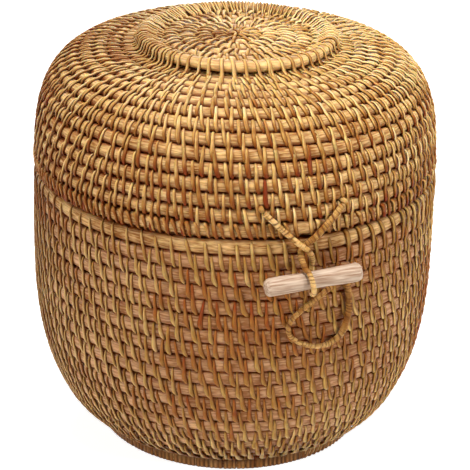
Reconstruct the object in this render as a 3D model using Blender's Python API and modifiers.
"""A coiled rattan box with a lift-off lid and a toggle closure.

Metres, +Z up. The origin is the centre of the foot's underside, and the closure faces -Y.
The box is coiled basketry: rows of cane laid one on another along a smooth outer line and
sewn together. Each coil is a turned shell whose outline swells at every row. The body stands
on a cane foot ring, and ends in a rim hoop with a collar inside it that the lid fits over.
The closure is a peg in a loop of cord on the lid, and a second loop on the body.
"""
import math

import bmesh
import bpy
from mathutils import Vector

# Body: radii and heights of the outer line
BELLY_RADIUS = 0.1000
BELLY_HEIGHT = 0.1020
SEAM_SETBACK = 0.0007
SEAM_HEIGHT = 0.1394
BOTTOM_RADIUS = 0.0663
BOWL_DEPTH_POWER = 2.8
BOWL_WIDTH_POWER = 1.6

# Lid: how far it rises above the seam, and how square its shoulder is
LID_RISE = 0.0614
SHOULDER_WIDTH_POWER = 7.0
SHOULDER_HEIGHT_POWER = 2.8

# Coiled rows
WALL_THICKNESS = 0.0056
RIB_DEPTH = 0.0018
WALL_RIB_DEPTH = 0.0014
WALL_ROWS = 18
LID_ROWS = 13
CROWN_ROWS = 6
BASE_ROWS = 9
COLLAR_ROWS = 3

# Hoops of thicker cane
FOOT_HEIGHT = 0.0070
FOOT_WIDTH = 0.0073
FOOT_OVERHANG = 0.0015
RIM_HEIGHT = 0.0078
RIM_THICKNESS = 0.0062
LID_HOOP_HEIGHT = 0.0076
CROWN_HOOP_HEIGHT = 0.0060
CROWN_HOOP_WIDTH = 0.0066
HOOP_ROUNDING = 0.0016

# Crown disc and collar
CROWN_RADIUS = 0.0420
CROWN_STEP = 0.0032
CROWN_DOME = 0.0014
COLLAR_THICKNESS = 0.0040
COLLAR_RISE = 0.0100
COLLAR_DROP = 0.0040
COLLAR_RIB_DEPTH = 0.0007

# Clearances
GAP = 0.0003
LID_CLEARANCE = 0.0007
KNOT_CLEARANCE = 0.0008

# Closure: places are (distance round the wall to the right, height above the seam)
CORD_RADIUS = 0.0015
KNOT_RADIUS = 0.0029
EXIT_ABOVE_SEAM = 0.0156
EXIT_HALF_SPAN = 0.0200
ANCHOR_BELOW_SEAM = 0.0241
ANCHOR_LEFT = 0.0155
ANCHOR_RIGHT = 0.0225
PEG_LENGTH = 0.0466
PEG_RADIUS = 0.00465
PEG_END_RADIUS = 0.0036
PEG_ROUNDING = 0.0016
PEG_OFFSET = 0.0026
PEG_BELOW_SEAM = 0.0176
PEG_TILT = math.radians(3.3)
RING_BACK = 0.0040
RING_FRONT = -0.0016
RING_POINTS = 10

# Cord routes on the wall: (to the right, above the seam, lift off the resting height)
LEFT_LEG = [
    (-0.0186, 0.0140, 0.0000),
    (-0.0150, 0.0104, 0.0003),
    (-0.0098, 0.0052, 0.0010),
    (-0.0044, 0.0002, 0.0026),
    (0.0008, -0.0044, 0.0038),
    (0.0032, -0.0086, 0.0020),
    (0.0040, -0.0130, 0.0003),
]
RIGHT_LEG = [
    (-0.0020, -0.0078, 0.0028),
    (-0.0012, -0.0050, 0.0002),
    (0.0016, -0.0024, 0.0000),
    (0.0057, 0.0006, 0.0000),
    (0.0097, 0.0047, 0.0002),
    (0.0144, 0.0094, 0.0002),
    (0.0186, 0.0141, 0.0000),
]
BODY_LEG = [
    (0.0140, -0.0254, 0.0002),
    (0.0115, -0.0271, 0.0006),
    (0.0049, -0.0314, 0.0010),
    (-0.0016, -0.0361, 0.0010),
    (-0.0058, -0.0413, 0.0006),
    (-0.0056, -0.0473, 0.0003),
    (-0.0009, -0.0521, 0.0003),
    (0.0071, -0.0553, 0.0005),
    (0.0141, -0.0551, 0.0006),
    (0.0199, -0.0517, 0.0008),
    (0.0232, -0.0441, 0.0010),
    (0.0240, -0.0356, 0.0008),
    (0.0226, -0.0262, 0.0003),
]

# Facets
TURN_STEPS = 32
PEG_STEPS = 20
CORD_STEPS = 10
LINE_SAMPLES = 120
CORD_SPAN_POINTS = 2
CORD_BEVEL_STEPS = 2

# Radii, heights and places that follow
SEAM_RADIUS = BELLY_RADIUS - SEAM_SETBACK
FOOT_OUTER_RADIUS = BOTTOM_RADIUS + FOOT_OVERHANG
FOOT_INNER_RADIUS = FOOT_OUTER_RADIUS - FOOT_WIDTH
WALL_BOTTOM = FOOT_HEIGHT + GAP
RIM_TOP = SEAM_HEIGHT - GAP / 2
RIM_BOTTOM = RIM_TOP - RIM_HEIGHT
WALL_TOP = RIM_BOTTOM - GAP
LID_BOTTOM = SEAM_HEIGHT + GAP / 2
LID_COIL_BOTTOM = LID_BOTTOM + LID_HOOP_HEIGHT + GAP
LID_TOP = SEAM_HEIGHT + LID_RISE
COLLAR_RADIUS = SEAM_RADIUS - RIM_THICKNESS - GAP
CORD_STANDOFF = CORD_RADIUS + GAP
RING_RADIUS = PEG_RADIUS + GAP + CORD_RADIUS
EXIT_HEIGHT = SEAM_HEIGHT + EXIT_ABOVE_SEAM
ANCHOR_HEIGHT = SEAM_HEIGHT - ANCHOR_BELOW_SEAM
PEG_HEIGHT = SEAM_HEIGHT - PEG_BELOW_SEAM

COLORS = {
    "cane": (0.48, 0.27, 0.11),
    "hoop_cane": (0.52, 0.31, 0.13),
    "cord_cane": (0.50, 0.33, 0.12),
    "peg_wood": (0.78, 0.62, 0.46),
}


class OuterLine:
    """A turned shell's outer line, from its top down, measured along its length."""

    def __init__(self, points):
        self.points = [Vector(point) for point in points]
        self.lengths = [0.0]
        for start, end in zip(self.points, self.points[1:]):
            self.lengths.append(self.lengths[-1] + (end - start).length)

    @property
    def length(self):
        return self.lengths[-1]

    def at(self, distance, depth):
        """The point at a distance along the line and a depth under it."""
        distance = min(max(distance, 0.0), self.length)
        index = 1
        while index < len(self.points) - 1 and self.lengths[index] < distance:
            index += 1
        start = self.points[index - 1]
        end = self.points[index]
        run = self.lengths[index] - self.lengths[index - 1]
        along = (end - start) / run
        point = start + along * (distance - self.lengths[index - 1])
        inward = Vector((along.y, -along.x))
        return point + inward * depth


def body_radius(height):
    """The body's outer radius at a height."""
    if height >= BELLY_HEIGHT:
        share = (height - BELLY_HEIGHT) / (SEAM_HEIGHT - BELLY_HEIGHT)
        return BELLY_RADIUS - (BELLY_RADIUS - SEAM_RADIUS) * share ** 2
    share = (BELLY_HEIGHT - height) / (BELLY_HEIGHT - WALL_BOTTOM)
    width = (1 - min(share, 1.0) ** BOWL_DEPTH_POWER) ** (1 / BOWL_WIDTH_POWER)
    return BOTTOM_RADIUS + (BELLY_RADIUS - BOTTOM_RADIUS) * width


def lid_radius(height):
    """The lid's outer radius at a height."""
    share = min((height - SEAM_HEIGHT) / LID_RISE, 1.0)
    width = (1 - share ** SHOULDER_HEIGHT_POWER) ** (1 / SHOULDER_WIDTH_POWER)
    return SEAM_RADIUS * width


def wall_radius(height):
    """The closed box's outer radius at a height."""
    if height > SEAM_HEIGHT:
        return lid_radius(height)
    return body_radius(height)


def body_line():
    """The wall coil's outer line, from under the rim hoop to the foot."""
    points = []
    for index in range(LINE_SAMPLES):
        height = WALL_TOP + (BELLY_HEIGHT - WALL_TOP) * index / LINE_SAMPLES
        points.append((body_radius(height), height))
    for index in range(LINE_SAMPLES + 1):
        turn = math.pi / 2 * index / LINE_SAMPLES
        width = max(math.cos(turn), 0.0) ** (2 / BOWL_WIDTH_POWER)
        depth = math.sin(turn) ** (2 / BOWL_DEPTH_POWER)
        radius = BOTTOM_RADIUS + (BELLY_RADIUS - BOTTOM_RADIUS) * width
        points.append((radius, BELLY_HEIGHT - (BELLY_HEIGHT - WALL_BOTTOM) * depth))
    return OuterLine(points)


def lid_line():
    """The lid coil's outer line, from the crown out over the shoulder to its hoop."""
    start = math.acos((CROWN_RADIUS / SEAM_RADIUS) ** (SHOULDER_WIDTH_POWER / 2))
    rise = (LID_COIL_BOTTOM - SEAM_HEIGHT) / LID_RISE
    stop = math.asin(rise ** (SHOULDER_HEIGHT_POWER / 2))
    points = []
    for index in range(2 * LINE_SAMPLES + 1):
        turn = start + (stop - start) * index / (2 * LINE_SAMPLES)
        radius = SEAM_RADIUS * math.cos(turn) ** (2 / SHOULDER_WIDTH_POWER)
        rise = LID_RISE * math.sin(turn) ** (2 / SHOULDER_HEIGHT_POWER)
        points.append((radius, SEAM_HEIGHT + rise))
    return OuterLine(points)


def ribs(line, rows, depth):
    """The outer points of a coil: a groove between rows and two crests on each row."""
    pitch = line.length / rows
    points = [line.at(0, depth)]
    for row in range(rows):
        points.append(line.at((row + 0.27) * pitch, 0))
        points.append(line.at((row + 0.73) * pitch, 0))
        points.append(line.at((row + 1) * pitch, depth))
    return points


def inner_side(line, rows, thickness):
    """The inner points of a coil, from its lower end back up, one to every second row."""
    count = max(round(rows / 2), 1)
    return [line.at(line.length * (1 - index / count), thickness) for index in range(count + 1)]


def hoop_outline(inner, outer, bottom, top):
    """A hoop's section: a rounded block of cane, flat above and below."""
    cut = HOOP_ROUNDING
    return [
        (outer - cut, top), (outer, top - cut), (outer, bottom + cut), (outer - cut, bottom),
        (inner + cut, bottom), (inner, bottom + cut), (inner, top - cut), (inner + cut, top),
    ]


def wall_point(across, height, standoff):
    """A point that stands off the wall, at a distance round it from the closure's middle."""
    radius = wall_radius(height)
    angle = across / radius
    reach = radius + standoff
    return Vector((reach * math.sin(angle), -reach * math.cos(angle), height))


def peg_point(across):
    """The point of the peg's axis that lies at a distance to the right of the middle."""
    reach = wall_radius(PEG_HEIGHT) + CORD_STANDOFF + RING_RADIUS
    height = PEG_HEIGHT + (across - PEG_OFFSET) * math.tan(PEG_TILT)
    return Vector((across, -reach, height))


def smooth_route(points):
    """Points read from a smooth curve through a route's own points."""
    route = []
    last = len(points) - 1
    for index in range(last):
        before = points[max(index - 1, 0)]
        start = points[index]
        end = points[index + 1]
        after = points[min(index + 2, last)]
        for step in range(CORD_SPAN_POINTS):
            share = step / CORD_SPAN_POINTS
            pull_start = (end - before) / 2
            pull_end = (after - start) / 2
            route.append(
                start * (2 * share ** 3 - 3 * share ** 2 + 1)
                + pull_start * (share ** 3 - 2 * share ** 2 + share)
                + end * (3 * share ** 2 - 2 * share ** 3)
                + pull_end * (share ** 3 - share ** 2)
            )
    route.append(points[last])
    return route


def least_gap(route, radius):
    """The least gap of a cord to itself, between points well apart along it."""
    reach = 4 * radius
    gaps = []
    for index, point in enumerate(route):
        run = 0.0
        for other in range(index + 1, len(route)):
            run += (route[other] - route[other - 1]).length
            if run > 3 * reach:
                gaps.append((route[other] - point).length - 2 * radius)
    return min(gaps)


def make_collection(name):
    """A new collection in the scene."""
    collection = bpy.data.collections.new(name)
    bpy.context.scene.collection.children.link(collection)
    return collection


def make_material(name):
    """A plain material in one of the object's colours."""
    material = bpy.data.materials.new(name)
    material.use_nodes = True
    shader = material.node_tree.nodes["Principled BSDF"]
    shader.inputs["Base Color"].default_value = (*COLORS[name], 1.0)
    shader.inputs["Roughness"].default_value = 0.55
    shader.inputs["Metallic"].default_value = 0.0
    return material


def make_empty(name, location, collection, parent=None):
    """An empty that a moving group hangs on."""
    empty = bpy.data.objects.new(name, None)
    empty.location = location
    empty.parent = parent
    collection.objects.link(empty)
    return empty


def turned(name, outline, material, collection, closed=True, steps=TURN_STEPS):
    """A turned piece: an outline that runs down its outer side, swept round the Z axis."""
    outline_mesh = bmesh.new()
    vertices = [outline_mesh.verts.new((point[0], 0, point[1])) for point in outline]
    for start, end in zip(vertices, vertices[1:]):
        outline_mesh.edges.new((start, end))
    if closed:
        outline_mesh.edges.new((vertices[-1], vertices[0]))
    mesh = bpy.data.meshes.new(name)
    outline_mesh.to_mesh(mesh)
    outline_mesh.free()
    mesh.materials.append(material)
    piece = bpy.data.objects.new(name, mesh)
    collection.objects.link(piece)
    sweep = piece.modifiers.new("Turn", "SCREW")
    sweep.axis = "Z"
    sweep.angle = 2 * math.pi
    sweep.steps = steps
    sweep.render_steps = steps
    sweep.use_merge_vertices = True
    sweep.merge_threshold = 0.00001
    sweep.use_smooth_shade = True
    return piece


def lowered(outline, height):
    """An outline measured from a height instead of the ground."""
    return [(point[0], point[1] - height) for point in outline]


def cord(name, route, origin, material, collection, parent):
    """A cord along a route, whose origin lies on the axis that it swings about."""
    curve = bpy.data.curves.new(name, "CURVE")
    curve.dimensions = "3D"
    curve.bevel_depth = CORD_RADIUS
    curve.bevel_resolution = CORD_BEVEL_STEPS
    curve.use_fill_caps = True
    spline = curve.splines.new("POLY")
    spline.points.add(len(route) - 1)
    for point, place in zip(spline.points, route):
        point.co = (*(place - origin), 1.0)
    curve.materials.append(material)
    piece = bpy.data.objects.new(name, curve)
    collection.objects.link(piece)
    piece.parent = parent
    return piece


def radial_turn(across, height):
    """The rotation that lays +Z along the outward direction at a place on the wall."""
    angle = across / wall_radius(height)
    outward = Vector((math.sin(angle), -math.cos(angle), 0))
    return outward.to_track_quat("Z", "Y")


def cord_end(name, across, height, material, collection):
    """A cord's fixed end: a rounded elbow outside, a shank through the wall, a knot inside."""
    knot_top = -(CORD_STANDOFF + WALL_THICKNESS + KNOT_CLEARANCE)
    outline = [
        (0, CORD_RADIUS),
        (CORD_RADIUS * math.sin(math.pi / 4), CORD_RADIUS * math.cos(math.pi / 4)),
        (CORD_RADIUS, 0),
        (CORD_RADIUS, knot_top),
        (KNOT_RADIUS * 0.8, knot_top - KNOT_RADIUS * 0.15),
        (KNOT_RADIUS, knot_top - KNOT_RADIUS * 0.6),
        (KNOT_RADIUS * 0.85, knot_top - KNOT_RADIUS * 1.15),
        (KNOT_RADIUS * 0.5, knot_top - KNOT_RADIUS * 1.5),
        (0, knot_top - KNOT_RADIUS * 1.6),
    ]
    piece = turned(name, outline, material, collection, closed=False, steps=CORD_STEPS)
    piece.location = wall_point(across, height, CORD_STANDOFF)
    piece.rotation_mode = "QUATERNION"
    piece.rotation_quaternion = radial_turn(across, height)
    return piece


def cut_cord_hole(coil, across, height, cutters):
    """A round hole through a coil's wall for a cord's end."""
    cutter_mesh = bmesh.new()
    bmesh.ops.create_cone(
        cutter_mesh, cap_ends=True, segments=CORD_STEPS, depth=4 * WALL_THICKNESS,
        radius1=CORD_RADIUS + GAP, radius2=CORD_RADIUS + GAP,
    )
    name = coil.name + "_hole"
    mesh = bpy.data.meshes.new(name)
    cutter_mesh.to_mesh(mesh)
    cutter_mesh.free()
    cutter = bpy.data.objects.new(name, mesh)
    cutters.objects.link(cutter)
    cutter.location = wall_point(across, height, -WALL_THICKNESS / 2)
    cutter.rotation_mode = "QUATERNION"
    cutter.rotation_quaternion = radial_turn(across, height)
    cutter.hide_render = True
    cutter.display_type = "WIRE"
    cut = coil.modifiers.new("Cord hole", "BOOLEAN")
    cut.operation = "DIFFERENCE"
    cut.solver = "EXACT"
    cut.object = cutter


def build_body(materials, collection, cutters):
    """The foot ring, bottom disc, wall, rim hoop, collar and the loop's fixed ends."""
    cane = materials["cane"]
    hoop_cane = materials["hoop_cane"]
    foot = hoop_outline(FOOT_INNER_RADIUS, FOOT_OUTER_RADIUS, 0.0, FOOT_HEIGHT)
    turned("foot_ring", foot, hoop_cane, collection)

    base_radius = BOTTOM_RADIUS - GAP
    underside = OuterLine([(base_radius, WALL_BOTTOM), (0, WALL_BOTTOM)])
    pitch = base_radius / BASE_ROWS
    top = WALL_BOTTOM + WALL_THICKNESS
    outline = [(0, top), (base_radius - RIB_DEPTH, top), (base_radius, top - RIB_DEPTH)]
    outline.append((base_radius, WALL_BOTTOM + RIB_DEPTH))
    for row in range(BASE_ROWS):
        outline.append(underside.at((row + 0.5) * pitch, 0))
        if row < BASE_ROWS - 1:
            outline.append(underside.at((row + 1) * pitch, RIB_DEPTH))
    outline.append((0, WALL_BOTTOM + RIB_DEPTH))
    turned("base_coil", outline, cane, collection, closed=False)

    line = body_line()
    outline = ribs(line, WALL_ROWS, WALL_RIB_DEPTH) + inner_side(line, WALL_ROWS, WALL_THICKNESS)
    wall = turned("wall_coil", outline, cane, collection)

    rim = hoop_outline(SEAM_RADIUS - RIM_THICKNESS, SEAM_RADIUS, RIM_BOTTOM, RIM_TOP)
    turned("rim_hoop", rim, hoop_cane, collection)

    line = OuterLine([(COLLAR_RADIUS, RIM_TOP + COLLAR_RISE), (COLLAR_RADIUS, RIM_BOTTOM - COLLAR_DROP)])
    inner = [(COLLAR_RADIUS - COLLAR_THICKNESS, point.y) for point in ribs(line, COLLAR_ROWS, 0)]
    outline = ribs(line, COLLAR_ROWS, COLLAR_RIB_DEPTH) + inner[::-3]
    turned("collar_coil", outline, cane, collection)

    for side, across in (("left", ANCHOR_LEFT), ("right", ANCHOR_RIGHT)):
        cord_end("body_loop_end_" + side, across, ANCHOR_HEIGHT, materials["cord_cane"], collection)
        cut_cord_hole(wall, across, ANCHOR_HEIGHT, cutters)


def build_lid(materials, collection, cutters):
    """The lid's hoop, coil, crown hoop and crown disc, on an empty that lifts them."""
    lid = make_empty("lid_lift", (0, 0, SEAM_HEIGHT), collection)
    cane = materials["cane"]
    hoop_cane = materials["hoop_cane"]
    inner = COLLAR_RADIUS + LID_CLEARANCE
    hoop = hoop_outline(inner, SEAM_RADIUS, LID_BOTTOM, LID_BOTTOM + LID_HOOP_HEIGHT)
    lid_hoop = turned("lid_hoop", lowered(hoop, SEAM_HEIGHT), hoop_cane, collection)

    line = lid_line()
    outline = ribs(line, LID_ROWS, RIB_DEPTH) + inner_side(line, LID_ROWS, WALL_THICKNESS)
    coil = turned("lid_coil", lowered(outline, SEAM_HEIGHT), cane, collection)

    hoop_bottom = LID_TOP + GAP
    hoop_top = hoop_bottom + CROWN_HOOP_HEIGHT
    hoop = hoop_outline(CROWN_RADIUS, CROWN_RADIUS + CROWN_HOOP_WIDTH, hoop_bottom, hoop_top)
    crown_hoop = turned("crown_hoop", lowered(hoop, SEAM_HEIGHT), hoop_cane, collection)

    disc_radius = CROWN_RADIUS - GAP
    edge_height = LID_TOP + CROWN_STEP
    dome = []
    for row in range(2 * CROWN_ROWS + 1):
        share = row / (2 * CROWN_ROWS)
        dome.append((disc_radius * share, edge_height + CROWN_DOME * (1 - share ** 2)))
    line = OuterLine(dome)
    outline = ribs(line, CROWN_ROWS, RIB_DEPTH)
    outline[0] = Vector((0, outline[0].y))
    lower_edge = edge_height - WALL_THICKNESS
    outline += [Vector((disc_radius, lower_edge)), Vector((0, lower_edge + CROWN_DOME))]
    crown = turned("crown_coil", lowered(outline, SEAM_HEIGHT), cane, collection, closed=False)

    for piece in (lid_hoop, coil, crown_hoop, crown):
        piece.parent = lid
    for side, across in (("left", -EXIT_HALF_SPAN), ("right", EXIT_HALF_SPAN)):
        name = "lid_loop_end_" + side
        end = cord_end(name, across, EXIT_HEIGHT, materials["cord_cane"], collection)
        end.location -= lid.location
        end.parent = lid
        cut_cord_hole(coil, across, EXIT_HEIGHT, cutters)
    return lid


def leg_points(route):
    """A cord's points on the wall, from the places in its route."""
    points = []
    for across, above_seam, lift in route:
        points.append(wall_point(across, SEAM_HEIGHT + above_seam, CORD_STANDOFF + lift))
    return points


def build_lid_loop(materials, collection, lid):
    """The lid's loop: down to a crossing, once round the peg, and back up."""
    left = wall_point(-EXIT_HALF_SPAN, EXIT_HEIGHT, CORD_STANDOFF)
    right = wall_point(EXIT_HALF_SPAN, EXIT_HEIGHT, CORD_STANDOFF)
    middle = (left + right) / 2
    hinge = make_empty("lid_loop_swing", middle - lid.location, collection, lid)
    ring = []
    for index in range(RING_POINTS + 1):
        share = index / RING_POINTS
        turn = -math.radians(270) * share
        axis = peg_point(RING_BACK + (RING_FRONT - RING_BACK) * share)
        ring.append(axis + Vector((0, math.cos(turn), math.sin(turn))) * RING_RADIUS)
    own_points = leg_points(LEFT_LEG) + ring + leg_points(RIGHT_LEG)
    route = smooth_route(own_points)
    print("lid loop: least gap to itself in mm", round(least_gap(route, CORD_RADIUS) * 1000, 2))
    cord("lid_loop", route, middle, materials["cord_cane"], collection, hinge)

    half = PEG_LENGTH / 2
    outline = [
        (0, half), (PEG_END_RADIUS - PEG_ROUNDING, half), (PEG_END_RADIUS, half - PEG_ROUNDING * 0.5),
        (PEG_RADIUS, half - 2 * PEG_ROUNDING), (PEG_RADIUS, 2 * PEG_ROUNDING - half),
        (PEG_END_RADIUS, PEG_ROUNDING * 0.5 - half), (PEG_END_RADIUS - PEG_ROUNDING, -half), (0, -half),
    ]
    peg = turned("toggle_peg", outline, materials["peg_wood"], collection, False, PEG_STEPS)
    peg.location = peg_point(PEG_OFFSET) - middle
    peg.rotation_euler = (0, math.pi / 2 - PEG_TILT, 0)
    peg.parent = hinge


def build_body_loop(materials, collection):
    """The body's loop, which hangs under the peg from two holes behind it."""
    left = wall_point(ANCHOR_LEFT, ANCHOR_HEIGHT, CORD_STANDOFF)
    right = wall_point(ANCHOR_RIGHT, ANCHOR_HEIGHT, CORD_STANDOFF)
    middle = (left + right) / 2
    hinge = make_empty("body_loop_swing", middle, collection)
    route = smooth_route(leg_points(BODY_LEG))
    cord("body_loop", route, middle, materials["cord_cane"], collection, hinge)


def main():
    """Clear the scene and build the box."""
    for item in list(bpy.data.objects):
        bpy.data.objects.remove(item, do_unlink=True)
    collection = make_collection("rattan_box")
    cutters = make_collection("cutters")
    materials = {name: make_material(name) for name in COLORS}
    build_body(materials, collection, cutters)
    lid = build_lid(materials, collection, cutters)
    build_lid_loop(materials, collection, lid)
    build_body_loop(materials, collection)


main()
